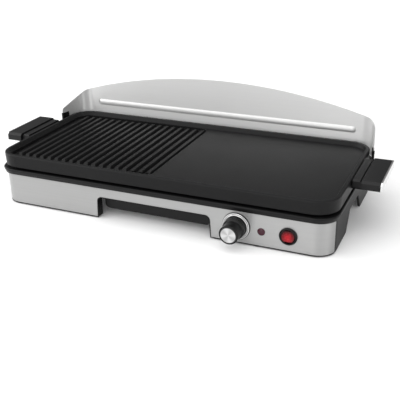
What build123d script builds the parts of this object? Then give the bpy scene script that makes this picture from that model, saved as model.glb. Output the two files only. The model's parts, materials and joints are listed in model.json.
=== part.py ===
from build123d import *
import math
import os

# Table-top electric griddle: a pressed-steel and plastic base that holds the heating elements and the
# controls, a lift-off cast plate (half ribbed, half flat) with two handles, a drip tray that slides out
# of the front, and a lift-off steel backsplash.
# Millimetres. +Z up, +X to the right of someone who faces the controls, +Y towards the back.
# The origin is on the table, under the middle of the whole object.

# --- driving dimensions -------------------------------------------------------------------------------
BODY_WIDTH = 476.0
BODY_DEPTH = 234.0
BODY_CORNER = 24.0
WALL = 3.0
SHEET = 0.8                  # fascia steel
PANEL_SHEET = 1.0            # backsplash steel
KNOB_REACH = 28.0            # how far the knob stands out of the fascia

FRONT = (KNOB_REACH - BODY_DEPTH) / 2      # front face of the fascia
BACK = FRONT + BODY_DEPTH
BODY_MID = (FRONT + BACK) / 2
HALF = BODY_WIDTH / 2

FOOT_HEIGHT = 1.5            # walls hang this far above the table
STEEL_BOTTOM = 2.6
STEEL_TOP = 46.3
FRAME_TOP = 53.8
FRAME_OVERHANG_FRONT = 5.2   # at its widest, below the rounded top edge
FRAME_OVERHANG_SIDE = 3.6
FRAME_LEAN = 2.0             # the outer face leans in this much down to the steel
FASCIA_RETURN = 17.5         # how far the steel runs back round each corner

NOTCH_TOP = 31.0
NOTCH_HALF_TOP = 80.8
NOTCH_HALF_BOTTOM = 82.4
ARCH_TOP = 27.0
ARCH_HALF_TOP = 24.0
ARCH_HALF_BOTTOM = 45.0

PLATE_WIDTH = 480.4
PLATE_DEPTH = 219.9
PLATE_MID = FRONT - 2.7 + PLATE_DEPTH / 2
PLATE_CORNER = 30.0
PLATE_BOTTOM = 57.0
PLATE_TOP = 74.2
PLATE_FLARE = 10.5           # width of the zone between the rim and the cooking surface
PLATE_TAPER = 0.5            # the outer wall leans in this much from the rim to its foot
RIM = 5.4
COOK_LEVEL = 69.0
GROOVE_LEVEL = 64.9
RIB_COUNT = 18
RIB_PITCH = 12.0
LAST_RIB_X = -13.3
RIB_FRONT = FRONT + 21.0
RIB_BACK = FRONT + 202.0

HANDLE_MID = FRONT + 114.5
HANDLE_LENGTH = 87.0
HANDLE_END = 278.6           # outer face of the metal end cap, from the mid-plane
HANDLE_BEVEL = 3.2
CAP = 2.0
GRIP_INNER = 253.4
GRIP_TOP = 76.4
GRIP_BOTTOM = 65.4
FLANGE_INNER = 241.6

PANEL_FACE = FRONT + 228.5   # front face of the backsplash
PANEL_HEIGHT = 139.8
PANEL_ARC = 815.0
PANEL_CORNER_X = 238.0       # where the two bend lines of a corner would meet
PANEL_BEND = 20.0
WING_TIP_Y = FRONT + 175.0
WING_ROOT_Y = FRONT + 212.0
WING_SPLAY = 11.0            # degrees
WING_TIP_TOP = 85.6
WING_ROOT_TOP = 98.4
SHOULDER_TOP = 109.0         # where the edge of the wing meets the arc, on the bend
BEAD_Z = 87.0
BEAD_HALF = 212.0
BEAD_WIDTH = 9.2
BEAD_RISE = 1.7
DRAIN_X, DRAIN_Y = -26.0, FRONT + 18.5     # where fat leaves the plate, over the front of the tray

KNOB_X, KNOB_Z = 117.4, 24.2
LAMP_X, LAMP_Z = 150.0, 22.1
SWITCH_X, SWITCH_Z = 184.3, 22.3
ROCKER_SWING = 16.0          # degrees between off and on

TRAY_FRONT = FRONT + 12.0
TRAY_LENGTH = 178.0
TRAY_HALF = 73.5
TRAY_FLANGE_HALF = 79.0
TRAY_BOTTOM = 11.5
TRAY_TOP = 30.0

PAN_BOTTOM = 31.2
PAN_TOP = 32.4
REFLECTOR_FLOOR = 41.0
ELEMENT_RADIUS = 3.25
ELEMENT_Z = 54.2
GLAND_X, GLAND_Z = 150.0, 39.5


# --- helpers ------------------------------------------------------------------------------------------
def block(x0, x1, y0, y1, z0, z1):
    """Box between two corners."""
    return Pos((x0 + x1) / 2, (y0 + y1) / 2, (z0 + z1) / 2) * Box(x1 - x0, y1 - y0, z1 - z0)


def slab(width, y0, y1, corner, z0, z1):
    """Rounded rectangle, centred on the mid-plane, raised from z0 to z1."""
    outline = Pos(0, (y0 + y1) / 2, z0) * RectangleRounded(width, y1 - y0, corner)
    return extrude(outline, amount=z1 - z0)


def post(x, y, z0, z1, radius):
    """Upright cylinder."""
    return Pos(x, y, (z0 + z1) / 2) * Cylinder(radius, z1 - z0)


def rod_y(x, z, y0, y1, radius):
    """Cylinder that lies front to back."""
    return Pos(x, (y0 + y1) / 2, z) * Rot(90, 0, 0) * Cylinder(radius, y1 - y0)


def rod_x(y, z, x0, x1, radius):
    """Cylinder that lies left to right."""
    return Pos((x0 + x1) / 2, y, z) * Rot(0, 90, 0) * Cylinder(radius, x1 - x0)


def front_prism(outline, y0, y1):
    """Extrude an outline drawn in x and z from y0 to y1."""
    return extrude(Plane.XZ.offset(-y1) * outline, amount=y1 - y0)


def side_prism(outline, x0, x1):
    """Extrude an outline drawn in y and z from x0 to x1."""
    return extrude(Plane.YZ.offset(x0) * outline, amount=x1 - x0)


def turned(profile, x, z):
    """Revolve an outline of (radius, y) points about a front-to-back axis at x, z."""
    return Pos(x, 0, z) * revolve(make_face(Polyline(*profile, close=True)), Axis.Y)


def tube(points, bend, radius):
    """Round bar or wire along straight runs joined by arcs."""
    path = FilletPolyline(*points, radius=bend)
    section = Plane(path @ 0, z_dir=path % 0) * Circle(radius)
    return sweep(section, path=path)


def mirror_x(shape):
    """The same piece on the other side of the mid-plane."""
    return mirror(shape, about=Plane.YZ)


def both_sides(shape):
    """A piece and its mirror image as a group."""
    return Compound(children=[*shape.solids(), *mirror_x(shape).solids()])


def group(shapes):
    """Separate solids kept together in one node."""
    return Compound(children=[solid for shape in shapes for solid in shape.solids()])


# --- base: shell --------------------------------------------------------------------------------------
CORNER_POSTS = [(side * (HALF - 11), y) for side in (-1, 1) for y in (FRONT + 17, BACK - 15)]
BOX_EARS = (102.0, 182.0)
BOX_EAR_Y = FRONT + 58.0
PLATE_PINS = [(x, y) for x in (-150, 150) for y in (FRONT + 20, FRONT + 202)]


def notch_outline(grow=0.0):
    """Trapezoid opening in the front, wider at the table, with rounded top corners."""
    low = FOOT_HEIGHT - 4
    points = [
        (-NOTCH_HALF_BOTTOM - grow, low),
        (NOTCH_HALF_BOTTOM + grow, low),
        (NOTCH_HALF_TOP + grow, NOTCH_TOP + grow),
        (-NOTCH_HALF_TOP - grow, NOTCH_TOP + grow),
    ]
    outline = make_face(Polyline(*points, close=True))
    top_corners = outline.vertices().sort_by(Axis.Y)[-2:]
    return fillet(top_corners, 6.0 + grow)


def arch_outline():
    """Opening between the front and back leg of each side."""
    points = [
        (BODY_MID - ARCH_HALF_BOTTOM, FOOT_HEIGHT - 4),
        (BODY_MID + ARCH_HALF_BOTTOM, FOOT_HEIGHT - 4),
        (BODY_MID + ARCH_HALF_TOP, ARCH_TOP),
        (BODY_MID - ARCH_HALF_TOP, ARCH_TOP),
    ]
    outline = make_face(Polyline(*points, close=True))
    top_corners = outline.vertices().sort_by(Axis.Y)[-2:]
    return fillet(top_corners, 5.0)


def body_shell(outset, inset, z0, z1):
    """Ring of wall that follows the body's outline, outset outwards and inset inwards."""
    outer = slab(BODY_WIDTH + 2 * outset, FRONT - outset, BACK + outset, BODY_CORNER + outset, z0, z1)
    inner = slab(BODY_WIDTH - 2 * inset, FRONT + inset, BACK - inset, BODY_CORNER - inset, z0 - 1, z1 + 1)
    return outer - inner


def make_lower_housing():
    shell = body_shell(0, WALL, FOOT_HEIGHT, STEEL_TOP)
    front_band = block(-HALF - 1, HALF + 1, FRONT - 1, FRONT + FASCIA_RETURN + 0.2, 0, STEEL_TOP + 1)
    shell -= body_shell(0.5, SHEET + 0.1, FOOT_HEIGHT - 0.1, STEEL_TOP + 0.1) & front_band
    inner_front = body_shell(-SHEET - 0.1, WALL + SHEET, FOOT_HEIGHT + 1.4, STEEL_TOP)
    shell += inner_front & block(-HALF, HALF, FRONT, FRONT + FASCIA_RETURN + WALL, 0, STEEL_TOP)
    for x, y in CORNER_POSTS:
        shell += post(x, y, FOOT_HEIGHT, STEEL_TOP, 7.0)
    # ledge that the floor of the base rests on
    ledge = body_shell(-2, 9, PAN_BOTTOM - 2, PAN_BOTTOM)
    shell += ledge - block(87.0, 216.5, FRONT, FRONT + 60, 0, STEEL_TOP)
    shell -= front_prism(notch_outline(1.5), FRONT - 1, FRONT + 30)
    shell -= side_prism(arch_outline(), -HALF - 5, HALF + 5)
    for x, y in CORNER_POSTS:
        shell -= post(x, y, 0, 7.2, 4.2)
        shell -= post(x, y, 0, STEEL_TOP + 1, 2.1)
    # window for the thermostat bush, lamp and switch
    shell -= rod_y(KNOB_X, KNOB_Z, FRONT - 1, FRONT + 12, 7.0)
    shell -= rod_y(LAMP_X, LAMP_Z, FRONT - 1, FRONT + 12, 4.4)
    shell -= rod_y(SWITCH_X, SWITCH_Z, FRONT - 1, FRONT + 12, 10.2)
    # cord gland hole and cooling slots in the back wall
    shell -= rod_y(GLAND_X, GLAND_Z, BACK - 5, BACK + 1, 5.05)
    for index in range(12):
        shell -= block(-110 + 16 * index, -100 + 16 * index, BACK - 5, BACK + 1, 36.0, 38.4)
    return shell


def make_fascia():
    """Bent steel sheet across the front, with the notch and three holes."""
    band = body_shell(0, SHEET, STEEL_BOTTOM, STEEL_TOP)
    sheet = band & block(-HALF - 1, HALF + 1, FRONT - 1, FRONT + FASCIA_RETURN, 0, STEEL_TOP + 1)
    sheet -= front_prism(notch_outline(1.1), FRONT - 1, FRONT + 5)
    sheet -= rod_y(KNOB_X, KNOB_Z, FRONT - 1, FRONT + 2, 6.6)
    sheet -= rod_y(LAMP_X, LAMP_Z, FRONT - 1, FRONT + 2, 4.4)
    sheet -= rod_y(SWITCH_X, SWITCH_Z, FRONT - 1, FRONT + 2, 10.2)
    return sheet


def make_fascia_trim():
    """Thin moulded edge along the foot of the steel and round the notch, with the notch's lining."""
    span = block(-HALF - 1, HALF + 1, FRONT - 1, FRONT + FASCIA_RETURN, 0, STEEL_TOP)
    edge = body_shell(0.3, SHEET, FOOT_HEIGHT, STEEL_BOTTOM) & span
    reach = NOTCH_HALF_BOTTOM + 1.1
    lining = block(-reach, reach, FRONT - 0.3, FRONT + 11, 2, NOTCH_TOP + 1.1)
    edge += lining & front_prism(notch_outline(1.1), FRONT - 0.3, FRONT + 11)
    return edge - front_prism(notch_outline(), FRONT - 2, FRONT + 14)


def make_top_frame():
    """Moulded frame that caps the base, carries the plate and takes the backsplash."""
    y0 = FRONT - FRAME_OVERHANG_FRONT
    width = BODY_WIDTH + 2 * FRAME_OVERHANG_SIDE
    widest = FRAME_TOP - 2.2
    frame = slab(width, y0, BACK, BODY_CORNER + 3, widest, FRAME_TOP)
    foot = Pos(0, (y0 + FRAME_LEAN + BACK) / 2, STEEL_TOP) * RectangleRounded(
        width - 2 * FRAME_LEAN, BACK - y0 - FRAME_LEAN, BODY_CORNER + 3 - FRAME_LEAN
    )
    brow = Pos(0, (y0 + BACK) / 2, widest) * RectangleRounded(width, BACK - y0, BODY_CORNER + 3)
    frame += loft([foot, brow])
    top_edges = frame.edges().group_by(Axis.Z)[-1]
    frame = fillet(top_edges, 2.0)
    inner = WALL + FRAME_LEAN
    under = FRAME_TOP - WALL
    frame -= slab(width - 2 * inner, y0 + inner, BACK - WALL, BODY_CORNER - 2, STEEL_TOP - 1, under)
    # skirt round the well that holds the reflector
    well = slab(2 * 222.0, FRONT + 27, FRONT + 199, 13.0, REFLECTOR_FLOOR + 2, FRAME_TOP - 1)
    frame += well
    frame -= slab(2 * 219.5, FRONT + 29.5, FRONT + 196.5, 10.5, 0, FRAME_TOP + 5)
    # bosses over the corner posts
    for x, y in CORNER_POSTS:
        frame += post(x, y, STEEL_TOP, FRAME_TOP - 1, 5.0)
        frame -= post(x, y, STEEL_TOP - 1, FRAME_TOP - 4, 1.95)
    # pads and pins for the plate
    for x, y in PLATE_PINS:
        frame += block(x - 12, x + 12, y - 4, y + 4, FRAME_TOP - 1, PLATE_BOTTOM)
        frame += post(x, y, FRAME_TOP, PLATE_BOTTOM + 1.4, 2.2)
    frame -= spout_hole(2.0)
    # slots for the backsplash tabs, holes for its foot pegs
    for x in (-120, 120):
        frame -= block(x - 31, x + 31, PANEL_FACE - 0.5, PANEL_FACE + PANEL_SHEET + 0.5, 40, FRAME_TOP + 1)
    # side ears with holes for the feet of the backsplash
    for side in (-1, 1):
        x0, x1 = sorted((side * (HALF - 1), side * (PEG_X + 3.6)))
        ear = block(x0, x1, PEG_Y - 6.5, PEG_Y + 6.5, FOOT_LEVEL - 4.5, FOOT_LEVEL)
        frame += fillet(ear.edges().filter_by(Axis.Z).sort_by(lambda e: -abs(e.center().X))[:2], 2.5)
        frame -= post(side * PEG_X, PEG_Y, 40, FOOT_LEVEL + 1, 2.2)
    return frame


def spout_hole(clearance):
    """Upright shaft round the plate's drain spout."""
    half_x = 15.0 + clearance
    half_y = 5.0 + clearance
    return block(DRAIN_X - half_x, DRAIN_X + half_x, DRAIN_Y - half_y, DRAIN_Y + half_y, 20, COOK_LEVEL)


def make_bottom_pan():
    """Steel floor of the base, open over the control box, the notch and the drain."""
    inset = WALL + SHEET + 0.5
    pan = slab(BODY_WIDTH - 2 * inset, FRONT + inset, BACK - inset, BODY_CORNER - inset, PAN_BOTTOM, PAN_TOP)
    pan -= block(91.0, 212.0, FRONT, FRONT + 51, PAN_BOTTOM - 1, PAN_TOP + 1)
    pan -= block(-84.5, 84.5, FRONT, FRONT + 11.5, PAN_BOTTOM - 1, PAN_TOP + 1)
    pan -= spout_hole(3.0)
    for x in BOX_EARS:
        pan -= post(x, BOX_EAR_Y, PAN_BOTTOM - 1, PAN_TOP + 1, 1.6)
    for x, y in CORNER_POSTS:
        pan -= post(x, y, PAN_BOTTOM - 1, PAN_TOP + 1, 7.3)
    for x in (-60, -30, 0, 30, 60):
        pan -= block(x - 9, x + 9, BACK - 20, BACK - 17, PAN_BOTTOM - 1, PAN_TOP + 1)
    return pan


def make_control_box():
    """Plastic bin below the floor that closes off the thermostat, lamp and switch."""
    box = block(89.0, 214.0, FRONT + 4.2, FRONT + 53, 4.0, PAN_BOTTOM)
    box -= block(91.0, 212.0, FRONT + 3.0, FRONT + 51, 6.0, PAN_BOTTOM + 1)
    for x in BOX_EARS:
        box += block(x - 5, x + 5, FRONT + 52, BOX_EAR_Y + 5, PAN_BOTTOM - 3, PAN_BOTTOM)
        box -= post(x, BOX_EAR_Y, PAN_BOTTOM - 4, PAN_BOTTOM + 1, 1.6)
    return box


def make_feet():
    """Four rubber feet pressed into the corner posts."""
    return group([post(x, y, 0, FOOT_HEIGHT, 6.5) + post(x, y, 0, 3.6, 4.1) for x, y in CORNER_POSTS])


def make_housing_screws():
    """Four screws up through the corner posts into the top frame."""
    screws = []
    for x, y in CORNER_POSTS:
        head = post(x, y, 4.4, 7.2, 3.8) - post(x, y, 4.0, 5.4, 1.2)
        screws.append(head + post(x, y, 7.0, FRAME_TOP - 4.5, 1.85))
    return group(screws)


def make_box_screws():
    """Two screws up through the ears of the control box into the floor of the base."""
    screws = []
    for x in BOX_EARS:
        head = post(x, BOX_EAR_Y, PAN_BOTTOM - 5, PAN_BOTTOM - 3, 3.2)
        screws.append(head + post(x, BOX_EAR_Y, PAN_BOTTOM - 4, PAN_TOP + 2, 1.5))
    return group(screws)


# --- base: heating ------------------------------------------------------------------------------------
ELEMENT_FRONT = FRONT + 52
ELEMENT_BACK = FRONT + 180
ZONE_FRONT = FRONT + 90
ZONE_BACK = FRONT + 142
COLD_END_X = 206.0


def element(left, y_front, y_back, bend):
    """Sheathed heating loop whose two cold ends turn down through the reflector."""
    low = REFLECTOR_FLOOR - 5
    points = [
        (COLD_END_X, y_front, low),
        (COLD_END_X, y_front, ELEMENT_Z),
        (left, y_front, ELEMENT_Z),
        (left, y_back, ELEMENT_Z),
        (COLD_END_X, y_back, ELEMENT_Z),
        (COLD_END_X, y_back, low),
    ]
    radii = [8.0, bend, bend, 8.0]
    path = FilletPolyline(*points, radius=radii)
    section = Plane(path @ 0, z_dir=path % 0) * Circle(ELEMENT_RADIUS)
    loop = sweep(section, path=path)
    for y in (y_front, y_back):
        loop += post(COLD_END_X, y, low - 2.2, low + 1, 1.4)
    return loop


def make_main_element():
    return element(-198.0, ELEMENT_FRONT, ELEMENT_BACK, 30.0)


def make_zone_element():
    return element(24.0, ZONE_FRONT, ZONE_BACK, 24.0)


def make_reflector():
    """Shallow bright tray below the elements."""
    y0 = FRONT + 31
    y1 = FRONT + 195
    tray = slab(2 * 217.5, y0, y1, 9.0, REFLECTOR_FLOOR, 50.0)
    tray -= slab(2 * 217.0, y0 + 0.5, y1 - 0.5, 8.5, REFLECTOR_FLOOR + 0.6, 51.0)
    for y in (ELEMENT_FRONT, ELEMENT_BACK, ZONE_FRONT, ZONE_BACK):
        tray -= post(COLD_END_X, y, REFLECTOR_FLOOR - 1, REFLECTOR_FLOOR + 2, 5.0)
    tray -= post(SENSOR_X, SENSOR_Y, REFLECTOR_FLOOR - 1, REFLECTOR_FLOOR + 2, 4.0)
    return tray


def make_reflector_stays():
    """Six stand-offs between the floor of the base and the reflector."""
    stays = []
    for x in (-170, 0, 170):
        for y in (FRONT + 76, FRONT + 168):
            stays.append(post(x, y, PAN_TOP, REFLECTOR_FLOOR, 4.0))
    return group(stays)


def make_element_clips():
    """Folded clips that hold the two loops above the reflector."""
    floor = REFLECTOR_FLOOR + 0.6
    clips = []
    places = [(x, y) for x in (-150, -40, 80) for y in (ELEMENT_FRONT, ELEMENT_BACK)]
    places += [(x, y) for x in (70, 165) for y in (ZONE_FRONT, ZONE_BACK)]
    for x, y in places:
        clip = block(x - 4, x + 4, y - 7, y + 7, floor, floor + 1)
        clip += block(x - 4, x + 4, y - 1, y + 1, floor, ELEMENT_Z - ELEMENT_RADIUS)
        saddle = rod_x(y, ELEMENT_Z, x - 4, x + 4, ELEMENT_RADIUS + 1)
        saddle -= rod_x(y, ELEMENT_Z, x - 5, x + 5, ELEMENT_RADIUS)
        clip += saddle & block(x - 5, x + 5, y - 9, y + 9, floor, ELEMENT_Z)
        clips.append(clip)
    return group(clips)


# --- base: controls -----------------------------------------------------------------------------------
SENSOR_X, SENSOR_Y = -6.0, FRONT + 116
CAPILLARY_LEVEL = 37.4       # between the floor of the base and the reflector
THERMOSTAT_TOP = KNOB_Z + 8


def make_thermostat():
    """Capillary thermostat: switch block, threaded bush and two spade terminals."""
    body = block(KNOB_X - 19, KNOB_X + 19, FRONT + 7.2, FRONT + 28, KNOB_Z - 15, THERMOSTAT_TOP)
    body += rod_y(KNOB_X, KNOB_Z, FRONT + 4.6, FRONT + 8, 12.0)
    body += rod_y(KNOB_X, KNOB_Z, FRONT + 1.0, FRONT + 6, 6.2)
    for x in (KNOB_X - 11, KNOB_X + 11):
        body += block(x - 3.2, x + 3.2, FRONT + 27, FRONT + 36, KNOB_Z - 8, KNOB_Z - 7.2)
    return body - rod_y(KNOB_X, KNOB_Z, FRONT, FRONT + 22, 3.07)


def make_capillary():
    """Liquid-filled sensor: bulb against the plate and the thin tube back to the thermostat."""
    bulb = rod_x(SENSOR_Y, ELEMENT_Z, SENSOR_X - 50, SENSOR_X - 2, 2.6)
    route = [
        (SENSOR_X - 3, SENSOR_Y, ELEMENT_Z),
        (SENSOR_X, SENSOR_Y, ELEMENT_Z),
        (SENSOR_X, SENSOR_Y, CAPILLARY_LEVEL),
        (SENSOR_X, FRONT + 24, CAPILLARY_LEVEL),
        (KNOB_X - 6, FRONT + 24, CAPILLARY_LEVEL),
        (KNOB_X - 6, FRONT + 24, THERMOSTAT_TOP),
    ]
    return bulb + tube(route, 2.4, 0.8)


def make_sensor_spring():
    """Leaf that presses the sensor bulb up against the plate."""
    floor = REFLECTOR_FLOOR + 0.6
    leaf = block(SENSOR_X - 40, SENSOR_X - 14, SENSOR_Y - 5, SENSOR_Y + 5, floor, floor + 0.8)
    leaf += block(SENSOR_X - 30, SENSOR_X - 24, SENSOR_Y - 0.6, SENSOR_Y + 0.6, floor, ELEMENT_Z - 2.6)
    cradle = rod_x(SENSOR_Y, ELEMENT_Z, SENSOR_X - 36, SENSOR_X - 18, 3.4)
    cradle -= rod_x(SENSOR_Y, ELEMENT_Z, SENSOR_X - 37, SENSOR_X - 17, 2.6)
    leaf += cradle & block(SENSOR_X - 60, SENSOR_X, SENSOR_Y - 9, SENSOR_Y + 9, floor, ELEMENT_Z)
    return leaf


def make_knob_bezel():
    """Bright ring that frames the foot of the knob."""
    ring = rod_y(KNOB_X, KNOB_Z, FRONT - 3.0, FRONT, 16.0)
    ring = chamfer(ring.edges().group_by(Axis.Y)[0], 0.8)
    return ring - rod_y(KNOB_X, KNOB_Z, FRONT - 4, FRONT + 1, 14.8)


def make_shaft():
    """D-shaft that the knob turns."""
    shaft = rod_y(KNOB_X, KNOB_Z, FRONT - 16, FRONT + 21, 3.0)
    flat = block(KNOB_X - 4, KNOB_X + 4, FRONT - 17, FRONT - 3, KNOB_Z + 1.6, KNOB_Z + 4)
    return shaft - flat


def make_knob():
    """Black control knob: fluted skirt, tapered neck and a recess for the bright disc."""
    profile = [
        (0, FRONT - 1.2),
        (14.2, FRONT - 1.2),
        (14.2, FRONT - 10.5),
        (13.4, FRONT - 11.5),
        (12.1, FRONT - 12.6),
        (12.5, FRONT - KNOB_REACH + 1.2),
        (11.9, FRONT - KNOB_REACH + 0.5),
        (0, FRONT - KNOB_REACH + 0.5),
    ]
    knob = turned(profile, KNOB_X, KNOB_Z)
    knob -= rod_y(KNOB_X, KNOB_Z, FRONT - KNOB_REACH, FRONT - KNOB_REACH + 2.0, 10.8)
    flutes = 30
    for index in range(flutes):
        angle = 2 * math.pi * index / flutes
        x = KNOB_X + 14.6 * math.cos(angle)
        z = KNOB_Z + 14.6 * math.sin(angle)
        knob -= rod_y(x, z, FRONT - 10.2, FRONT - 3.6, 0.8)
    # hollow behind the skirt, with a hub that fits the shaft and its flat
    knob -= rod_y(KNOB_X, KNOB_Z, FRONT - 4.5, FRONT - 1, 12.0)
    knob += rod_y(KNOB_X, KNOB_Z, FRONT - 5.0, FRONT - 1.2, 5.0)
    knob -= rod_y(KNOB_X, KNOB_Z, FRONT - 16.1, FRONT, 3.05)
    flat = block(KNOB_X - 3, KNOB_X + 3, FRONT - 16.1, FRONT - 5, KNOB_Z + 1.65, KNOB_Z + 4)
    return knob + flat


def make_knob_disc():
    """Brushed metal disc in the face of the knob."""
    disc = rod_y(KNOB_X, KNOB_Z, FRONT - KNOB_REACH, FRONT - KNOB_REACH + 2.0, 10.7)
    return chamfer(disc.edges().group_by(Axis.Y)[0], 0.4)


def make_lamp_lens():
    """Domed lens of the heating lamp."""
    profile = [
        (0, FRONT - 2.2),
        (2.4, FRONT - 1.9),
        (4.0, FRONT - 1.3),
        (5.0, FRONT - 0.4),
        (5.0, FRONT),
        (4.2, FRONT),
        (4.2, FRONT + 9),
        (0, FRONT + 9),
    ]
    return turned(profile, LAMP_X, LAMP_Z)


def make_lamp_body():
    """Neon lamp holder behind the lens, with its two leads' stubs."""
    body = rod_y(LAMP_X, LAMP_Z, FRONT + 9, FRONT + 25, 4.0)
    for x in (LAMP_X - 1.6, LAMP_X + 1.6):
        body += rod_y(x, LAMP_Z, FRONT + 24.5, FRONT + 30, 0.6)
    return body


def make_switch_housing():
    """Round snap-in switch: bezel, barrel and three terminals."""
    bezel = rod_y(SWITCH_X, SWITCH_Z, FRONT - 2.2, FRONT, 11.5)
    bezel = chamfer(bezel.edges().group_by(Axis.Y)[0], 0.9)
    barrel = rod_y(SWITCH_X, SWITCH_Z, FRONT - 0.5, FRONT + 22, 9.9)
    housing = bezel + barrel
    housing -= rod_y(SWITCH_X, SWITCH_Z, FRONT - 3, FRONT + 13, 9.2)
    housing -= rod_x(ROCKER_Y, SWITCH_Z, SWITCH_X - 9.7, SWITCH_X + 9.7, 1.15)
    for z in (SWITCH_Z - 5.5, SWITCH_Z, SWITCH_Z + 5.5):
        housing += block(SWITCH_X - 2.4, SWITCH_X + 2.4, FRONT + 21.5, FRONT + 31, z - 0.4, z + 0.4)
    return housing


ROCKER_Y = FRONT + 3.0       # pivot, behind the fascia


def make_rocker():
    """Red rocker in its off position; its front is two shallow dished faces."""
    barrel = rod_y(SWITCH_X, SWITCH_Z, ROCKER_Y - 8, ROCKER_Y + 3.5, 8.5)
    swing = rod_x(ROCKER_Y, SWITCH_Z, SWITCH_X - 9, SWITCH_X + 9, 8.8)
    rocker = barrel & swing
    dish = rod_x(ROCKER_Y - 6.4 - 34, SWITCH_Z, SWITCH_X - 12, SWITCH_X + 12, 35.0)
    rocker -= dish
    rocker += rod_x(ROCKER_Y, SWITCH_Z, SWITCH_X - 9.5, SWITCH_X + 9.5, 1.0)
    pivot = Axis((SWITCH_X, ROCKER_Y, SWITCH_Z), (1, 0, 0))
    return rocker.rotate(pivot, -ROCKER_SWING / 2)


STRIP_WAYS = (176.0, 188.0, 200.0)
STRIP_HOLE_Z = 12.0
FUSE_X, FUSE_Y = 140.0, FRONT + 62.0


def make_terminal_block():
    """Three-way connector strip in the control box."""
    strip = block(STRIP_WAYS[0] - 6, STRIP_WAYS[2] + 6, FRONT + 36, FRONT + 47, 6.0, 18.0)
    for x in STRIP_WAYS:
        strip -= post(x, FRONT + 41.5, STRIP_HOLE_Z + 2, 19, 2.2)
        strip -= rod_y(x, STRIP_HOLE_Z, FRONT + 35, FRONT + 48, 1.9)
    return strip


def make_terminal_screws():
    """Clamp screws of the connector strip."""
    screws = []
    for x in STRIP_WAYS:
        slot = block(x - 2, x + 2, FRONT + 41.2, FRONT + 41.8, 16.4, 18)
        screws.append(post(x, FRONT + 41.5, STRIP_HOLE_Z + 2.4, 17.2, 1.9) - slot)
    return group(screws)


def make_thermal_fuse():
    """One-shot cut-out strapped below the reflector."""
    z = REFLECTOR_FLOOR - 2.4
    fuse = rod_x(FUSE_Y, z, FUSE_X - 10, FUSE_X + 10, 2.2)
    return fuse + rod_x(FUSE_Y, z, FUSE_X - 18, FUSE_X + 18, 0.6)


def make_gland():
    """Moulded bush in the back wall where the mains lead enters."""
    bush = rod_y(GLAND_X, GLAND_Z, BACK - 7.5, BACK - 3.0, 5.9)
    bush += rod_y(GLAND_X, GLAND_Z, BACK - 3.2, BACK, 5.0)
    return bush - rod_y(GLAND_X, GLAND_Z, BACK - 9, BACK + 1, 3.4)


def make_wiring():
    """Insulated leads between the gland, the connector strip, the controls and the elements."""
    level = PAN_TOP + 2.6
    leads = []
    # supply: gland to connector strip
    for start_x, strip_x in ((GLAND_X - 1.6, STRIP_WAYS[0]), (GLAND_X + 1.6, STRIP_WAYS[1])):
        route = [
            (start_x, BACK - 5, GLAND_Z),
            (start_x, BACK - 24, level + 0.4),
            (strip_x, BACK - 60, level),
            (strip_x, FRONT + 49.2, level),
            (strip_x, FRONT + 49.2, STRIP_HOLE_Z),
            (strip_x, FRONT + 43.5, STRIP_HOLE_Z),
        ]
        leads.append(tube(route, 4.0, 1.3))
    # switch to the strip
    back_of_switch = FRONT + 31
    route = [
        (SWITCH_X, back_of_switch, SWITCH_Z + 5.5),
        (SWITCH_X, back_of_switch + 3, SWITCH_Z + 5.5),
        (STRIP_WAYS[2], back_of_switch + 3, SWITCH_Z + 5.5),
        (STRIP_WAYS[2], back_of_switch + 3, STRIP_HOLE_Z),
        (STRIP_WAYS[2], back_of_switch + 8, STRIP_HOLE_Z),
    ]
    leads.append(tube(route, 2.4, 1.0))
    # lamp to the thermostat side of the box
    route = [
        (LAMP_X + 1.6, FRONT + 30, LAMP_Z),
        (LAMP_X + 1.6, FRONT + 34, LAMP_Z),
        (KNOB_X + 24, FRONT + 34, LAMP_Z),
        (KNOB_X + 24, FRONT + 34, LAMP_Z - 10),
    ]
    leads.append(tube(route, 2.4, 0.8))
    # thermostat to the fuse, and the fuse to the main element
    fuse_z = REFLECTOR_FLOOR - 2.4
    route = [
        (KNOB_X + 11, FRONT + 36, KNOB_Z - 7.6),
        (KNOB_X + 11, FRONT + 44, KNOB_Z - 7.6),
        (KNOB_X + 11, FRONT + 44, level),
        (FUSE_X - 30, FRONT + 48, level + 0.5),
        (FUSE_X - 30, FUSE_Y, fuse_z),
        (FUSE_X - 18, FUSE_Y, fuse_z),
    ]
    leads.append(tube(route, 2.5, 1.1))
    route = [
        (FUSE_X + 18, FUSE_Y, fuse_z),
        (FUSE_X + 24, FUSE_Y, fuse_z),
        (FUSE_X + 40, FUSE_Y, level),
        (COLD_END_X - 10, FUSE_Y, level - 0.9),
        (COLD_END_X - 2.4, ELEMENT_FRONT + 2.4, level - 1.0),
    ]
    leads.append(tube(route, 3.0, 1.1))
    return group(leads)


# --- drip tray ----------------------------------------------------------------------------------------
def make_tray_guides():
    """Two angle rails under the floor of the base that the tray's flanges slide on."""
    web = block(79.8, 81.6, FRONT + 20, FRONT + 196, 24.6, PAN_BOTTOM)
    shelf = block(74.6, 81.6, FRONT + 20, FRONT + 196, 24.6, 27.2)
    stop = block(74.6, 81.6, FRONT + 193, FRONT + 196, 24.6, PAN_BOTTOM)
    return both_sides(web + shelf + stop)


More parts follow.
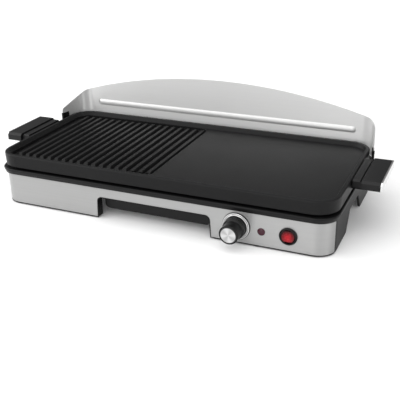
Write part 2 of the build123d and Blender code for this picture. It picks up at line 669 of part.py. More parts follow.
def make_drip_tray():
    """Moulded tray: rounded front with a finger edge, sloping ends and side flanges."""
    y0 = TRAY_FRONT
    y1 = TRAY_FRONT + TRAY_LENGTH
    tray = slab(2 * TRAY_HALF, y0 + 1.0, y1, 9.0, TRAY_BOTTOM, TRAY_TOP)
    tray = fillet(tray.edges().group_by(Axis.Z)[0], 4.0)
    tray += slab(2 * TRAY_FLANGE_HALF, y0 + 12, y1 - 2, 3.0, 27.6, 29.4) & block(-90, 90, y0, y1, 20, 40)
    hollow = slab(2 * TRAY_HALF - 3.6, y0 + 3.2, y1 - 1.8, 7.2, TRAY_BOTTOM + 1.8, TRAY_TOP + 1)
    hollow = fillet(hollow.edges().group_by(Axis.Z)[0], 3.0)
    tray -= hollow
    face = Pos(0, (TRAY_BOTTOM + TRAY_TOP) / 2) * RectangleRounded(2 * 77.5, TRAY_TOP - TRAY_BOTTOM, 7.0)
    front = front_prism(face, y0, y0 + 3.2)
    front = fillet(front.edges().group_by(Axis.Y)[0], 1.0)
    return tray + front


# --- griddle plate ------------------------------------------------------------------------------------
def plate_outline(grow, z):
    """The plate's rounded outline at height z; a grow of PLATE_FLARE is the rim itself."""
    width = PLATE_WIDTH - 2 * PLATE_FLARE + 2 * grow
    depth = PLATE_DEPTH - 2 * PLATE_FLARE + 2 * grow
    return Pos(0, PLATE_MID, z) * RectangleRounded(width, depth, PLATE_CORNER - PLATE_FLARE + grow)


def make_plate():
    """Cast plate with a raised rim, a ribbed left half, a flat right half and a front gutter with a drain."""
    lip = 2.4
    brim = plate_outline(PLATE_FLARE, PLATE_TOP - lip)
    cast = loft([plate_outline(PLATE_FLARE - PLATE_TAPER, PLATE_BOTTOM), brim])
    cast += extrude(brim, amount=lip)
    cast = fillet(cast.edges().group_by(Axis.Z)[-1], 1.8)
    wall_foot = PLATE_FLARE - RIM - 2.6
    cast -= loft([plate_outline(wall_foot, COOK_LEVEL), plate_outline(PLATE_FLARE - RIM, PLATE_TOP + 0.01)])
    # recess of the ribbed half, and the gutter along the front
    floor = extrude(plate_outline(wall_foot - 1.0, GROOVE_LEVEL), amount=COOK_LEVEL + 1 - GROOVE_LEVEL)
    left_edge = -PLATE_WIDTH / 2
    y0, y1 = PLATE_MID - PLATE_DEPTH, PLATE_MID + PLATE_DEPTH
    recess = block(left_edge, LAST_RIB_X + 7, y0, y1, GROOVE_LEVEL, COOK_LEVEL + 1) & floor
    recess = fillet(recess.edges().filter_by(Axis.Z).group_by(Axis.X)[-1], 14.0)
    cast -= recess
    gutter_back = FRONT + 13.5
    gutter = block(left_edge, -left_edge, y0, gutter_back, GROOVE_LEVEL, COOK_LEVEL + 1) & floor
    cast -= gutter
    for index in range(RIB_COUNT):
        cast += rib(LAST_RIB_X - index * RIB_PITCH)
    # underside: hollow over the elements, deeper below the flat half, with bosses round the locating pins
    ceiling = PLATE_BOTTOM + 2.6
    cast -= slab(2 * 226.0, FRONT + 10, FRONT + 204, 20.0, PLATE_BOTTOM - 1, ceiling)
    cast -= block(LAST_RIB_X + 16, 216, FRONT + 28, FRONT + 192, PLATE_BOTTOM, PLATE_BOTTOM + 5.2)
    for x, y in PLATE_PINS:
        cast += block(x - 14, x + 14, y - 6, y + 6, PLATE_BOTTOM, ceiling + 0.5)
        cast -= post(x, y, PLATE_BOTTOM - 1, PLATE_BOTTOM + 2.0, 2.7)
    # drain spout through the frame
    cast += spout_hole(0) & block(-100, 100, FRONT, FRONT + 60, FRAME_TOP - 6, ceiling + 0.5)
    drain = spout_hole(-2.2) & block(-100, 100, FRONT, FRONT + 60, FRAME_TOP - 10, COOK_LEVEL)
    cast -= drain
    cast -= block(DRAIN_X - 12.8, DRAIN_X + 12.8, DRAIN_Y - 2.8, DRAIN_Y + 2.8, PLATE_BOTTOM, COOK_LEVEL + 1)
    # lugs that carry the handles
    for side in (-1, 1):
        for y in HANDLE_SCREW_YS:
            x0, x1 = sorted((side * 228.0, side * 262.0))
            lug = block(x0, x1, y - 8, y + 8, GRIP_BOTTOM - 4, GRIP_BOTTOM)
            cast += lug - post(side * HANDLE_SCREW_X, y, 60, 70, 2.1)
    return cast


def rib(x):
    """One cooking rib: tapered flanks and sloping ends."""
    foot = Pos(x, (RIB_FRONT + RIB_BACK) / 2, GROOVE_LEVEL - 0.2) * Rectangle(7.4, RIB_BACK - RIB_FRONT + 3)
    crest = Pos(x, (RIB_FRONT + RIB_BACK) / 2, COOK_LEVEL) * Rectangle(4.6, RIB_BACK - RIB_FRONT - 3)
    return loft([foot, crest])


HANDLE_SCREW_X = 257.0
HANDLE_SCREW_YS = (HANDLE_MID - 26, HANDLE_MID + 26)
HANDLE_FRONT = HANDLE_MID - HANDLE_LENGTH / 2
HANDLE_BACK = HANDLE_MID + HANDLE_LENGTH / 2


def bevel_ends(bar, size):
    """Chamfer the top front and top back edges of a handle block."""
    return chamfer(bar.edges().filter_by(Axis.X).group_by(Axis.Z)[-1], size)


def make_handle():
    """Right-hand heat-proof handle: flange beside the rim, waist, and a bevelled grip."""
    grip = block(GRIP_INNER, HANDLE_END - CAP, HANDLE_FRONT, HANDLE_BACK, GRIP_BOTTOM, GRIP_TOP)
    grip = bevel_ends(grip, HANDLE_BEVEL)
    y0, y1 = HANDLE_FRONT + 4, HANDLE_BACK - 4
    flange = block(FLANGE_INNER, GRIP_INNER + 1, y0, y1, GRIP_BOTTOM, GRIP_TOP - 1.4)
    flange = bevel_ends(flange, 1.6)
    waist = block(GRIP_INNER - 2.4, GRIP_INNER, HANDLE_FRONT, HANDLE_BACK, GRIP_TOP - 3.4, GRIP_TOP + 1)
    handle = grip + flange - waist
    for y in HANDLE_SCREW_YS:
        handle -= post(HANDLE_SCREW_X, y, GRIP_BOTTOM - 1, GRIP_BOTTOM + 6.5, 1.7)
    return handle


def make_handle_cap():
    """Bright plate that closes the outer face of the right-hand grip."""
    cap = block(HANDLE_END - CAP, HANDLE_END, HANDLE_FRONT, HANDLE_BACK, GRIP_BOTTOM, GRIP_TOP)
    cap = bevel_ends(cap, HANDLE_BEVEL)
    return fillet(cap.edges().group_by(Axis.X)[-1], 0.7)


def make_handle_screws():
    """Two screws up through the lugs of each side into the handles."""
    screws = []
    for side in (-1, 1):
        for y in HANDLE_SCREW_YS:
            head = post(side * HANDLE_SCREW_X, y, GRIP_BOTTOM - 6.2, GRIP_BOTTOM - 4, 3.6)
            screws.append(head + post(side * HANDLE_SCREW_X, y, GRIP_BOTTOM - 5, GRIP_BOTTOM + 6, 1.6))
    return group(screws)


# --- backsplash ---------------------------------------------------------------------------------------
SPLAY_RUN = math.tan(math.radians(WING_SPLAY))
WING_TIP_X = PANEL_CORNER_X + SPLAY_RUN * (PANEL_FACE + PANEL_SHEET - WING_TIP_Y)
FOOT_LEVEL = 52.8            # top of the frame's side ears, which carry the backsplash
FOOT_CHEEK = 2.0             # thickness of the foot inside the wing
PEG_X, PEG_Y = 244.6, WING_TIP_Y + 7.0


def panel_plan():
    """Plan of the sheet: one long back run and two splayed wings, bent with a radius."""
    rear = PANEL_FACE + PANEL_SHEET
    front = WING_TIP_Y - 20
    reach = PANEL_CORNER_X + SPLAY_RUN * (rear - front)
    points = [(-reach, front), (reach, front), (PANEL_CORNER_X, rear), (-PANEL_CORNER_X, rear)]
    outer = make_face(Polyline(*points, close=True))
    outer = fillet(outer.vertices().sort_by(Axis.Y)[-2:], PANEL_BEND)
    inner = offset(outer, amount=-PANEL_SHEET)
    cut_front = Pos(0, front) * Rectangle(3 * reach, 2 * (WING_TIP_Y - front))
    return outer - inner - cut_front


def make_backsplash():
    """Arched steel sheet with a pressed bead and two forward wings."""
    bottom = FRAME_TOP + 0.3
    sheet = extrude(Pos(0, 0, bottom) * panel_plan(), amount=PANEL_HEIGHT - bottom + 2)
    crown = Pos(0, PANEL_HEIGHT - PANEL_ARC) * Circle(PANEL_ARC)
    sheet = sheet & front_prism(crown, WING_TIP_Y - 5, BACK + 5)
    # wings: the top edge falls from a rounded shoulder to the tips, and their foot is clear of the frame
    slope = Line((WING_TIP_Y, WING_TIP_TOP), (WING_ROOT_Y, WING_ROOT_TOP))
    shoulder = TangentArc(slope @ 1, (PANEL_FACE, SHOULDER_TOP), tangent=slope % 1)
    rest = Polyline(
        (PANEL_FACE, SHOULDER_TOP),
        (PANEL_FACE, PANEL_HEIGHT + 5),
        (BACK, PANEL_HEIGHT + 5),
        (BACK, bottom),
        (FRONT + 212.0, bottom),
        (FRONT + 208.0, 60.0),
        (WING_TIP_Y, 60.0),
        (WING_TIP_Y, WING_TIP_TOP),
    )
    keep = make_face([slope, shoulder, *rest.edges()])
    tip = keep.vertices().sort_by(Axis.X)[:2].sort_by(Axis.Y)[-1]
    keep = fillet(tip, 4.0)
    sheet = sheet & side_prism(keep, -300, 300)
    # tabs into the frame
    for x in (-120, 120):
        sheet += block(x - 30, x + 30, PANEL_FACE, PANEL_FACE + PANEL_SHEET, 47.5, bottom + 1)
    # pressed bead: proud at the front, hollow behind
    proud = bead(PANEL_FACE, BEAD_WIDTH, BEAD_HALF)
    sheet += proud & block(-300, 300, PANEL_FACE - 5, PANEL_FACE + 0.4, 60, 120)
    back = PANEL_FACE + PANEL_SHEET
    hollow = bead(back, BEAD_WIDTH - 1.2, BEAD_HALF - 0.8)
    return sheet - (hollow & block(-300, 300, back - 5, back + 1, 60, 120))


def bead(y, width, half):
    """Low rounded bar with round ends that stands BEAD_RISE out of a face at y."""
    radius = (width**2 / 4 + BEAD_RISE**2) / (2 * BEAD_RISE)
    centre_y = y + radius - BEAD_RISE
    straight = half - width / 2
    bar = rod_x(centre_y, BEAD_Z, -straight, straight, radius)
    for side in (-1, 1):
        bar += Pos(side * straight, centre_y, BEAD_Z) * Sphere(radius)
    return bar


def make_backsplash_foot():
    """Right-hand moulded foot: grips the wing's lower front corner and pegs into the frame."""
    inner = -PANEL_SHEET - FOOT_CHEEK
    cheek = block(inner, -PANEL_SHEET, -1.4, 12.0, FOOT_LEVEL + 2, 79.0)
    cheek += block(inner, 0.5, -1.4, -0.1, FOOT_LEVEL + 2, 79.0)
    cheek += block(inner, 0.5, -1.4, 12.0, FOOT_LEVEL + 2, 59.6)
    cheek = Pos(WING_TIP_X, WING_TIP_Y, 0) * Rot(0, 0, WING_SPLAY) * cheek
    toe = block(PEG_X - 3.2, PEG_X + 3.2, PEG_Y - 4.5, PEG_Y + 4.5, FOOT_LEVEL, 59.6)
    peg = post(PEG_X, PEG_Y, FOOT_LEVEL - 5.5, FOOT_LEVEL + 1, 1.8)
    return cheek + toe + peg


def make_rivets():
    """Two rivets through each wing into its foot."""
    rivets = []
    for z in (66.0, 74.0):
        pin = Pos(WING_TIP_X, WING_TIP_Y, 0) * Rot(0, 0, WING_SPLAY) * (
            Pos(0.45, 6.0, z) * Rot(0, 90, 0) * Cylinder(2.2, 0.9)
        )
        rivets.append(pin)
    right = group(rivets)
    return Compound(children=[*right.solids(), *mirror_x(right).solids()])


# --- write every piece --------------------------------------------------------------------------------
def main():
    os.makedirs("parts", exist_ok=True)
    handle = make_handle()
    cap = make_handle_cap()
    foot = make_backsplash_foot()
    pieces = {
        "lower_housing": make_lower_housing(),
        "front_fascia": make_fascia(),
        "fascia_trim": make_fascia_trim(),
        "top_frame": make_top_frame(),
        "bottom_pan": make_bottom_pan(),
        "control_box": make_control_box(),
        "rubber_feet": make_feet(),
        "housing_screws": make_housing_screws(),
        "control_box_screws": make_box_screws(),
        "heating_element_main": make_main_element(),
        "heating_element_power_zone": make_zone_element(),
        "heat_reflector": make_reflector(),
        "reflector_stays": make_reflector_stays(),
        "element_clips": make_element_clips(),
        "thermostat": make_thermostat(),
        "thermostat_capillary": make_capillary(),
        "sensor_spring": make_sensor_spring(),
        "knob_bezel": make_knob_bezel(),
        "thermostat_shaft": make_shaft(),
        "knob_body": make_knob(),
        "knob_disc": make_knob_disc(),
        "lamp_lens": make_lamp_lens(),
        "lamp_holder": make_lamp_body(),
        "switch_housing": make_switch_housing(),
        "switch_rocker": make_rocker(),
        "terminal_block": make_terminal_block(),
        "terminal_screws": make_terminal_screws(),
        "thermal_fuse": make_thermal_fuse(),
        "cord_gland": make_gland(),
        "internal_wiring": make_wiring(),
        "tray_guides": make_tray_guides(),
        "drip_tray": make_drip_tray(),
        "griddle_plate": make_plate(),
        "handle_right": handle,
        "handle_left": mirror_x(handle),
        "handle_cap_right": cap,
        "handle_cap_left": mirror_x(cap),
        "handle_screws": make_handle_screws(),
        "backsplash_panel": make_backsplash(),
        "backsplash_foot_right": foot,
        "backsplash_foot_left": mirror_x(foot),
        "backsplash_rivets": make_rivets(),
    }
    for name, shape in pieces.items():
        export_step(shape, f"parts/{name}.step")


main()
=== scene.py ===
import json
import math

import bmesh
import bpy
from mathutils import Matrix, Vector


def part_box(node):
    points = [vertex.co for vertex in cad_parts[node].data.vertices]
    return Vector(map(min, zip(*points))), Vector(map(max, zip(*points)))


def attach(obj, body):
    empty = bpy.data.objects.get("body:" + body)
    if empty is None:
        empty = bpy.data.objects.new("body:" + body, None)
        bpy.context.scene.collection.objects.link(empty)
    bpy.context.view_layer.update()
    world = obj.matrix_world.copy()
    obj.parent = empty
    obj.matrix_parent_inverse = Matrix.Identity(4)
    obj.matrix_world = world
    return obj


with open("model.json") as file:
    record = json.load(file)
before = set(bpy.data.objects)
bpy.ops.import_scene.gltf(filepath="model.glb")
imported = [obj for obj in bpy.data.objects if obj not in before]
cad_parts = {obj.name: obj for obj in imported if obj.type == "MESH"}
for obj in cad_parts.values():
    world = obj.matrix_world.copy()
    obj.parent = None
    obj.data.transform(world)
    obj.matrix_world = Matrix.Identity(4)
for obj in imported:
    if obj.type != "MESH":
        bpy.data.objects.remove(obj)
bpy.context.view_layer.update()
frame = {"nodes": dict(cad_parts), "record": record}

MM = 0.001


# --- node helpers -------------------------------------------------------------------------------------
class Shader:
    """A material with one principled shader, and short ways to feed it."""

    def __init__(self, name, colour, roughness, metallic=0.0, **sockets):
        self.material = bpy.data.materials.new(name)
        self.material.use_nodes = True
        self.tree = self.material.node_tree
        self.tree.nodes.clear()
        output = self.node("OutputMaterial")
        self.bsdf = self.node("BsdfPrincipled")
        self.link(self.bsdf.outputs["BSDF"], output.inputs["Surface"])
        self.set("Base Color", (*colour, 1.0))
        self.set("Roughness", roughness)
        self.set("Metallic", metallic)
        for socket, value in sockets.items():
            self.set(socket.replace("_", " "), value)
        self.material.diffuse_color = (*colour, 1.0)

    def node(self, kind, **settings):
        made = self.tree.nodes.new("ShaderNode" + kind)
        for key, value in settings.items():
            setattr(made, key, value)
        return made

    def link(self, source, target):
        self.tree.links.new(source, target)

    def set(self, socket, value):
        self.bsdf.inputs[socket].default_value = value

    def place(self, stretch=(1.0, 1.0, 1.0), offset=(0.0, 0.0, 0.0)):
        """Object coordinates in metres, stretched and moved."""
        coords = self.node("TexCoord")
        mapping = self.node("Mapping")
        mapping.inputs["Scale"].default_value = stretch
        mapping.inputs["Location"].default_value = offset
        self.link(coords.outputs["Object"], mapping.inputs["Vector"])
        return mapping.outputs["Vector"]

    def noise(self, vector, scale, detail=2.0, roughness=0.5):
        made = self.node("TexNoise")
        made.inputs["Scale"].default_value = scale
        made.inputs["Detail"].default_value = detail
        made.inputs["Roughness"].default_value = roughness
        self.link(vector, made.inputs["Vector"])
        return made.outputs["Fac"]

    def cells(self, vector, scale):
        made = self.node("TexVoronoi")
        made.inputs["Scale"].default_value = scale
        self.link(vector, made.inputs["Vector"])
        return made.outputs["Distance"]

    def remap(self, value, low, high, to_low, to_high):
        made = self.node("MapRange")
        for socket, number in zip(made.inputs[1:5], (low, high, to_low, to_high)):
            socket.default_value = number
        self.link(value, made.inputs["Value"])
        return made.outputs["Result"]

    def math(self, operation, first, second=0.0):
        made = self.node("Math", operation=operation)
        for socket, value in zip(made.inputs, (first, second)):
            if isinstance(value, (int, float)):
                socket.default_value = value
            else:
                self.link(value, socket)
        return made.outputs["Value"]

    def about_y(self, centre_x, centre_z):
        """X and Z from a line along Y, and the distance from it."""
        split = self.node("SeparateXYZ")
        self.link(self.place(offset=(-centre_x, 0.0, -centre_z)), split.inputs["Vector"])
        x, z = split.outputs["X"], split.outputs["Z"]
        squares = self.math("ADD", self.math("MULTIPLY", x, x), self.math("MULTIPLY", z, z))
        return x, z, self.math("SQRT", squares)

    def tint(self, value, dark, light):
        """Colour between dark and light."""
        made = self.node("Mix", data_type="RGBA")
        made.inputs["A"].default_value = (*dark, 1.0)
        made.inputs["B"].default_value = (*light, 1.0)
        self.link(value, made.inputs["Factor"])
        self.link(made.outputs["Result"], self.bsdf.inputs["Base Color"])

    def rough(self, value, low, high):
        self.link(self.remap(value, 0.3, 0.7, low, high), self.bsdf.inputs["Roughness"])

    def relief(self, layers, edge=0.0):
        """Bumps of (height, depth in metres), over rounded edges."""
        normal = None
        if edge:
            bevel = self.node("Bevel", samples=4)
            bevel.inputs["Radius"].default_value = edge
            normal = bevel.outputs["Normal"]
        for height, depth in layers:
            bump = self.node("Bump")
            bump.inputs["Distance"].default_value = depth
            bump.inputs["Strength"].default_value = 1.0
            self.link(height, bump.inputs["Height"])
            if normal is not None:
                self.link(normal, bump.inputs["Normal"])
            normal = bump.outputs["Normal"]
        self.link(normal, self.bsdf.inputs["Normal"])


def scaled(colour, factor):
    return tuple(channel * factor for channel in colour)


# --- materials ----------------------------------------------------------------------------------------
def moulded(name, colour, roughness, grain=2600.0, depth=0.00002, edge=0.0006, spread=0.08, **sockets):
    """Injection-moulded plastic: spark-eroded grain, faint flow marks, slightly uneven gloss."""
    s = Shader(name, colour, roughness, **sockets)
    at = s.place()
    fine = s.noise(at, grain, 3.0, 0.6)
    flow = s.noise(s.place((6.0, 6.0, 14.0)), 1.0, 3.0)
    s.tint(flow, scaled(colour, 0.88), scaled(colour, 1.14))
    uneven = s.math("MULTIPLY", s.math("ADD", flow, fine), 0.5)
    s.rough(uneven, roughness - spread / 2, roughness + spread / 2)
    s.relief([(fine, depth)], edge)
    return s.material


def brushed(name, colour, roughness, stretch, strength=0.10, depth=0.000004, edge=0.0004, anisotropy=0.6):
    """Brushed sheet: long fine scratches along the grain over a faint waviness of the sheet."""
    s = Shader(name, colour, roughness, metallic=1.0)
    s.set("Anisotropic", anisotropy)
    s.set("Anisotropic Rotation", 0.25)      # highlights spread across the grain
    tangent = s.node("Tangent", direction_type="RADIAL", axis="Z")
    s.link(tangent.outputs["Tangent"], s.bsdf.inputs["Tangent"])
    scratch = s.noise(s.place(stretch), 1.0, 4.0, 0.7)
    wide = s.noise(s.place(scaled(stretch, 0.23), (3.1, 1.7, 0.4)), 1.0, 2.0)
    s.tint(scratch, scaled(colour, 1.0 - strength), scaled(colour, 1.0 + strength))
    s.rough(wide, roughness - 0.04, roughness + 0.05)
    s.relief([(scratch, depth)], edge)
    return s.material


def middle(node):
    """Centre of a CAD node's box."""
    low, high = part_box(node)
    return [(a + b) / 2 for a, b in zip(low, high)]


def spun(name, colour, roughness, node, rim):
    """Face turned on a lathe about Y: rings round the centre, a painted highlight that lightens wedge-shaped
    sectors of the colour, black lacquer past the rim.
    """
    s = Shader(name, colour, roughness, metallic=1.0)
    centre_x, _, centre_z = middle(node)
    x, z, radius = s.about_y(centre_x, centre_z)
    along = s.node("CombineXYZ")
    s.link(radius, along.inputs["X"])
    rings = s.noise(along.outputs["Vector"], 5200.0, 3.0, 0.7)
    # painted highlight: the colour is lighter in wedge-shaped sectors round the centre, standing in for light
    # caught by the turned rings
    highlight_wedge_count, highlight_wedge_start = 4.0, 0.6
    turn = s.math("ADD", s.math("MULTIPLY", s.math("ARCTAN2", z, x), highlight_wedge_count), highlight_wedge_start)
    painted_highlight_wedges = s.remap(s.math("SINE", turn), -1.0, 1.0, 0.0, 0.75)
    inside = s.remap(radius, rim, rim + 0.2 * MM, 1.0, 0.0)
    # the turned rings (real grain) plus the painted highlight, which together lift the metal's colour
    rings_and_painted_highlight = s.math("ADD", painted_highlight_wedges, s.math("MULTIPLY", rings, 0.25))
    bright = s.math("ADD", s.math("MULTIPLY", rings_and_painted_highlight, 0.4), 0.6)
    lacquer = (0.004, 0.004, 0.004)
    s.tint(s.math("MULTIPLY", inside, bright), lacquer, colour)
    s.link(inside, s.bsdf.inputs["Metallic"])
    s.rough(rings, roughness - 0.05, roughness + 0.05)
    s.relief([(rings, 0.000006)], 0.0002)
    return s.material


def painted_glow_moulding(name, node, reach):
    """Red moulding with painted light: a painted glow, as if lit from behind, brightest just below the
    centre, and painted shade darkening it at the edges.
    """
    s = Shader(name, (0.30, 0.008, 0.014), 0.25, Specular_IOR_Level=0.2)
    centre_x, _, centre_z = middle(node)
    # painted glow: the colour is lightest about 1.2 mm below the centre and falls off to painted shade
    # towards the rim
    below = 1.2 * MM
    _, _, radius = s.about_y(centre_x, centre_z - below)
    smoky = s.noise(s.place(), 420.0, 2.0)
    fade = s.remap(radius, 1.0 * MM, reach, 1.0, 0.0)
    glow = s.math("MULTIPLY", fade, s.remap(smoky, 0.3, 0.7, 0.75, 1.0))
    painted_shade_red, painted_glow_red = (0.020, 0.001, 0.002), (0.42, 0.008, 0.016)
    s.tint(glow, painted_shade_red, painted_glow_red)
    s.rough(smoky, 0.20, 0.32)
    s.relief([(smoky, 0.000004)], 0.0004)
    return s.material


def metal(name, colour, roughness, grain=900.0, depth=0.00001, edge=0.0002):
    """Plain metal part: faint mottling and uneven gloss."""
    s = Shader(name, colour, roughness, metallic=1.0)
    mottle = s.noise(s.place(), grain, 4.0)
    s.tint(mottle, scaled(colour, 0.86), scaled(colour, 1.12))
    s.rough(mottle, roughness - 0.06, roughness + 0.07)
    s.relief([(mottle, depth)], edge)
    return s.material


def nonstick():
    """Sprayed non-stick coating on the blasted casting."""
    colour = (0.0068, 0.0068, 0.0070)
    s = Shader("nonstick_coating", colour, 0.42)
    at = s.place()
    blasted = s.noise(at, 1500.0, 4.0, 0.65)
    orange = s.noise(at, 260.0, 2.0)
    flecks = s.remap(s.cells(at, 900.0), 0.10, 0.22, 1.0, 0.0)
    cloud = s.noise(at, 9.0, 3.0)
    patchy = s.math("ADD", s.math("MULTIPLY", cloud, 0.5), s.math("MULTIPLY", flecks, 0.35))
    s.tint(patchy, scaled(colour, 0.80), scaled(colour, 1.9))
    s.rough(s.math("MULTIPLY", s.math("ADD", blasted, cloud), 0.5), 0.36, 0.48)
    s.relief([(orange, 0.00003), (blasted, 0.000018)], 0.0008)
    s.set("Specular IOR Level", 0.14)
    return s.material


MATERIALS = {
    "housing_plastic": moulded(
        "housing_plastic_black", (0.006, 0.006, 0.0063), 0.50, depth=0.00003, Specular_IOR_Level=0.25
    ),
    "frame_plastic": moulded("frame_plastic_black", (0.004, 0.004, 0.0042), 0.42, Specular_IOR_Level=0.16),
    "fascia_steel": brushed(
        "fascia_brushed_steel", (0.38, 0.38, 0.378), 0.42, (9.0, 9.0, 2600.0), strength=0.07, anisotropy=0.7
    ),
    "backsplash_steel": brushed(
        "backsplash_brushed_steel", (0.71, 0.71, 0.706), 0.48, (7.0, 7.0, 2600.0),
        strength=0.04, anisotropy=0.85
    ),
    "nonstick_cast": nonstick(),
    "handle_plastic": moulded("handle_plastic_black", (0.005, 0.005, 0.0052), 0.40, Specular_IOR_Level=0.25),
    "handle_metal": brushed("handle_cap_metal", (0.70, 0.70, 0.70), 0.30, (9.0, 9.0, 2400.0)),
    "trim_plastic": moulded("trim_plastic_black", (0.004, 0.004, 0.004), 0.40, Specular_IOR_Level=0.15),
    "tray_plastic": moulded("tray_plastic_black", (0.004, 0.004, 0.0042), 0.38, Specular_IOR_Level=0.22),
    "knob_plastic": moulded(
        "knob_plastic_black", (0.004, 0.004, 0.0042), 0.30,
        depth=0.000006, edge=0.0002, Specular_IOR_Level=0.22
    ),
    # the spun disc's colour carries a painted highlight in wedge-shaped sectors
    "knob_metal": spun("knob_disc_spun_painted_highlight", (0.66, 0.66, 0.66), 0.34, "knob_disc", 0.0096),
    "bezel_chrome": metal("bezel_bright_metal", (0.50, 0.50, 0.50), 0.30, 1800.0, 0.000002),
    "lamp_red": moulded(
        "lamp_lens_red", (0.045, 0.012, 0.020), 0.14,
        depth=0.000002, edge=0.0, spread=0.02, Specular_IOR_Level=0.25
    ),
    # the rocker's colour holds a painted glow and painted shade at its edges
    "rocker_red": painted_glow_moulding("rocker_red", "switch_rocker", 0.0088),
    "switch_black": moulded(
        "switch_bezel_black", (0.004, 0.003, 0.003), 0.32,
        depth=0.000005, edge=0.0002, spread=0.04, Specular_IOR_Level=0.2
    ),
    "rubber_black": moulded("rubber_black", (0.012, 0.012, 0.012), 0.75, depth=0.00004),
    "element_sheath": metal("element_sheath_dark", (0.12, 0.11, 0.105), 0.50),
    "reflector_metal": metal("reflector_bright_metal", (0.72, 0.72, 0.73), 0.22),
    "pan_metal": metal("galvanised_sheet", (0.48, 0.49, 0.50), 0.42, 120.0),
    "fastener_steel": metal("zinc_plated_steel", (0.55, 0.55, 0.56), 0.32),
    "terminal_brass": metal("turned_brass", (0.70, 0.50, 0.24), 0.30),
    "capillary_copper": metal("drawn_copper", (0.72, 0.40, 0.26), 0.30),
    "thermostat_case": moulded("thermostat_case_cream", (0.50, 0.47, 0.40), 0.45),
    "terminal_plastic": moulded("terminal_nylon", (0.72, 0.71, 0.66), 0.40),
    "wire_insulation": moulded("wire_silicone", (0.26, 0.07, 0.045), 0.50),
}

for part in frame["record"]["subparts"]:
    holder = frame["nodes"][part["node"]]
    holder.data.materials.clear()
    holder.data.materials.append(MATERIALS[part["material_slot"]])


# --- pieces over the frame ------------------------------------------------------------------------------
def turned_ring(name, centre, front, profile, steps=96):
    """Closed ring turned about Y: profile is (radius, distance behind the front) in metres."""
    mesh = bpy.data.meshes.new(name)
    points = [
        (centre[0] + r * math.cos(turn), front + back, centre[2] + r * math.sin(turn))
        for turn in (2 * math.pi * step / steps for step in range(steps))
        for r, back in profile
    ]
    count = len(profile)
    faces = [
        (a * count + i, a * count + (i + 1) % count, b * count + (i + 1) % count, b * count + i)
        for a, b in ((step, (step + 1) % steps) for step in range(steps))
        for i in range(count)
    ]
    mesh.from_pydata(points, [], faces)
    return finished(mesh, name)


def finished(mesh, name):
    """Object of a closed mesh, with its faces turned outwards and shaded smooth."""
    shape = bmesh.new()
    shape.from_mesh(mesh)
    bmesh.ops.recalc_face_normals(shape, faces=shape.faces)
    shape.to_mesh(mesh)
    shape.free()
    mesh.shade_smooth()
    made = bpy.data.objects.new(name, mesh)
    bpy.context.scene.collection.objects.link(made)
    return made


def make_bezel_flange():
    """Rolled flange of the bright bezel, which lies on the fascia round the foot of the knob."""
    low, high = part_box("knob_bezel")
    root = (high[0] - low[0]) / 2
    profile = [
        (root - 0.2 * MM, 0.9 * MM),
        (root + 0.7 * MM, 0.6 * MM),
        (root + 1.7 * MM, 0.9 * MM),
        (root + 2.3 * MM, 1.7 * MM),
        (root + 2.4 * MM, 2.9 * MM),
        (root - 0.2 * MM, 2.9 * MM),
    ]
    flange = turned_ring("knob_bezel_flange", middle("knob_bezel"), low[1], profile)
    flange.data.materials.append(metal("bezel_flange_metal", (0.58, 0.58, 0.58), 0.26, 1500.0, 0.000002))
    # painted shade: the rolled outer edge of the flange, where it meets the fascia, is coloured dark
    flange.data.materials.append(metal("bezel_flange_painted_shade_edge", (0.05, 0.05, 0.05), 0.40, 1500.0, 0.000002))
    painted_shade_runs = (2, 3)       # the profile's runs that get painted shade along the outer edge
    for face in flange.data.polygons:
        if face.index % len(profile) in painted_shade_runs:
            face.material_index = 1
    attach(flange, "base")


MARK_RING = 13.25 * MM       # radius of the ring that the marks lie on
MARK_AHEAD = 10.05 * MM      # from the skirt's back edge to the ring
MARK_RADIUS, MARK_HEIGHT = 0.55 * MM, 0.22 * MM
MARK_ANGLES = range(95, -66, -40)


def make_skirt_marks():
    """Dots round the shoulder of the knob's skirt. They lie just under its surface, so they don't show."""
    centre_x, _, centre_z = middle("knob_body")
    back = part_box("knob_body")[1][1]
    shape = bmesh.new()
    for angle in MARK_ANGLES:
        turn = math.radians(angle)
        across, up = math.cos(turn), math.sin(turn)
        outward = Vector((across, -1.0, up)).normalized()
        seat = Vector((centre_x + MARK_RING * across, back - MARK_AHEAD, centre_z + MARK_RING * up))
        flat = Matrix.Diagonal((MARK_RADIUS, MARK_RADIUS, MARK_HEIGHT, 1.0))
        where = Matrix.Translation(seat) @ outward.to_track_quat("Z", "Y").to_matrix().to_4x4() @ flat
        bmesh.ops.create_uvsphere(shape, u_segments=16, v_segments=10, radius=1.0, matrix=where)
    mesh = bpy.data.meshes.new("knob_skirt_marks")
    shape.to_mesh(mesh)
    shape.free()
    marks = finished(mesh, "knob_skirt_marks")
    marks.data.materials.append(moulded("mark_white", (0.55, 0.55, 0.55), 0.40, depth=0.000003, edge=0.0))
    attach(marks, "knob")


make_bezel_flange()
make_skirt_marks()


# --- floor, light and camera --------------------------------------------------------------------------
DIM_BEHIND, BRIGHT_AHEAD = 0.25, 1.15        # strength of the white world
PAPER = (0.86, 0.86, 0.86)
FLOOR_REACH = 8.0
LENS, SENSOR = 62.69, 36.0                   # in millimetres
CAMERA_PLACE = (0.39333, -0.82299, 0.41194)
CAMERA_FORWARD = (-0.373537, 0.829538, -0.415134)
CAMERA_ROLL = -1.371                         # degrees


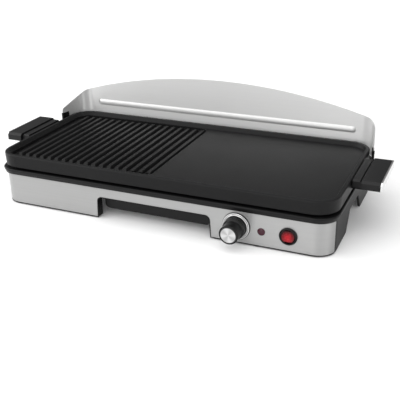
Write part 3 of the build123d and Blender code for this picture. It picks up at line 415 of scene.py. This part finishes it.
def make_floor():
    mesh = bpy.data.meshes.new("floor")
    far = FLOOR_REACH
    corners = [(-far, -far, 0), (far, -far, 0), (far, far, 0), (-far, far, 0)]
    mesh.from_pydata(corners, [], [(0, 1, 2, 3)])
    floor = bpy.data.objects.new("floor", mesh)
    bpy.context.scene.collection.objects.link(floor)
    glow = {"Emission_Color": (1.0, 1.0, 1.0, 1.0), "Emission_Strength": 0.03}
    paper = Shader("white_paper", PAPER, 0.9, **glow)
    fibre = paper.noise(paper.place(), 40.0, 4.0)
    paper.tint(fibre, PAPER, (0.88, 0.88, 0.88))
    mesh.materials.append(paper.material)


def make_light(name, place, target, size, power):
    """Soft box of (width, height) in metres and a power in watts, turned to its target."""
    data = bpy.data.lights.new(name, "AREA")
    data.shape = "RECTANGLE"
    data.size, data.size_y = size
    data.energy = power
    light = bpy.data.objects.new(name, data)
    light.location = place
    light.rotation_euler = (Vector(target) - Vector(place)).to_track_quat("-Z", "Y").to_euler()
    bpy.context.scene.collection.objects.link(light)


def make_sun(name, direction, spread, strength):
    """Even light from one side, soft over the spread in degrees."""
    data = bpy.data.lights.new(name, "SUN")
    data.angle = math.radians(spread)
    data.energy = strength
    light = bpy.data.objects.new(name, data)
    light.rotation_euler = Vector(direction).to_track_quat("-Z", "Y").to_euler()
    bpy.context.scene.collection.objects.link(light)


def make_world():
    """White studio, brightest overhead and in front of the object, and dimmer behind it."""
    world = bpy.data.worlds.new("studio")
    world.use_nodes = True
    tree = world.node_tree
    tree.nodes["Background"].inputs["Color"].default_value = (1.0, 1.0, 1.0, 1.0)
    coords = tree.nodes.new("ShaderNodeTexCoord")
    split = tree.nodes.new("ShaderNodeSeparateXYZ")
    fade = tree.nodes.new("ShaderNodeMapRange")
    fade.interpolation_type = "SMOOTHSTEP"
    for socket, number in zip(fade.inputs[1:5], (-0.25, 0.75, BRIGHT_AHEAD, DIM_BEHIND)):
        socket.default_value = number
    tree.links.new(coords.outputs["Generated"], split.inputs[0])
    tree.links.new(split.outputs["Y"], fade.inputs["Value"])
    tree.links.new(fade.outputs["Result"], tree.nodes["Background"].inputs["Strength"])
    bpy.context.scene.world = world


def make_camera():
    data = bpy.data.cameras.new("camera")
    data.sensor_width = SENSOR
    data.lens = LENS
    data.clip_start, data.clip_end = 0.05, 50.0
    camera = bpy.data.objects.new("camera", data)
    forward = Vector(CAMERA_FORWARD).normalized()
    right = forward.cross(Vector((0, 0, 1))).normalized()
    level = Matrix((right, right.cross(forward), -forward)).transposed()
    roll = Matrix.Rotation(math.radians(CAMERA_ROLL), 3, "Z")
    camera.matrix_world = Matrix.Translation(CAMERA_PLACE) @ (level @ roll).to_4x4()
    bpy.context.scene.collection.objects.link(camera)
    bpy.context.scene.camera = camera


make_floor()
make_world()
make_sun("sky_soft", (0.25, 0.15, -1.0), 90.0, 1.2)
make_light("key_left", (-1.5, -0.7, 0.9), (-0.1, 0.0, 0.05), (0.9, 0.7), 4.0)
make_light("strip_right", (1.8, -0.6, 0.5), (0.2, 0.0, 0.05), (0.5, 1.6), 4.5)
make_light("low_back_right", (1.35, 1.1, 0.22), (0.24, -0.1, 0.03), (0.6, 0.4), 3.0)
make_light("front_strip", (-0.10, -2.1, 0.4), (0.2, -0.1, 0.03), (0.22, 1.2), 3.5)
make_light("strip_left", (-1.9, 0.1, 0.5), (-0.2, 0.0, 0.05), (0.8, 1.6), 9.0)
make_light("front_panel", (-0.9, -2.2, 1.0), (0.0, 0.0, 0.08), (2.6, 1.2), 8.5)
make_camera()

bpy.context.scene.view_settings.view_transform = "Standard"
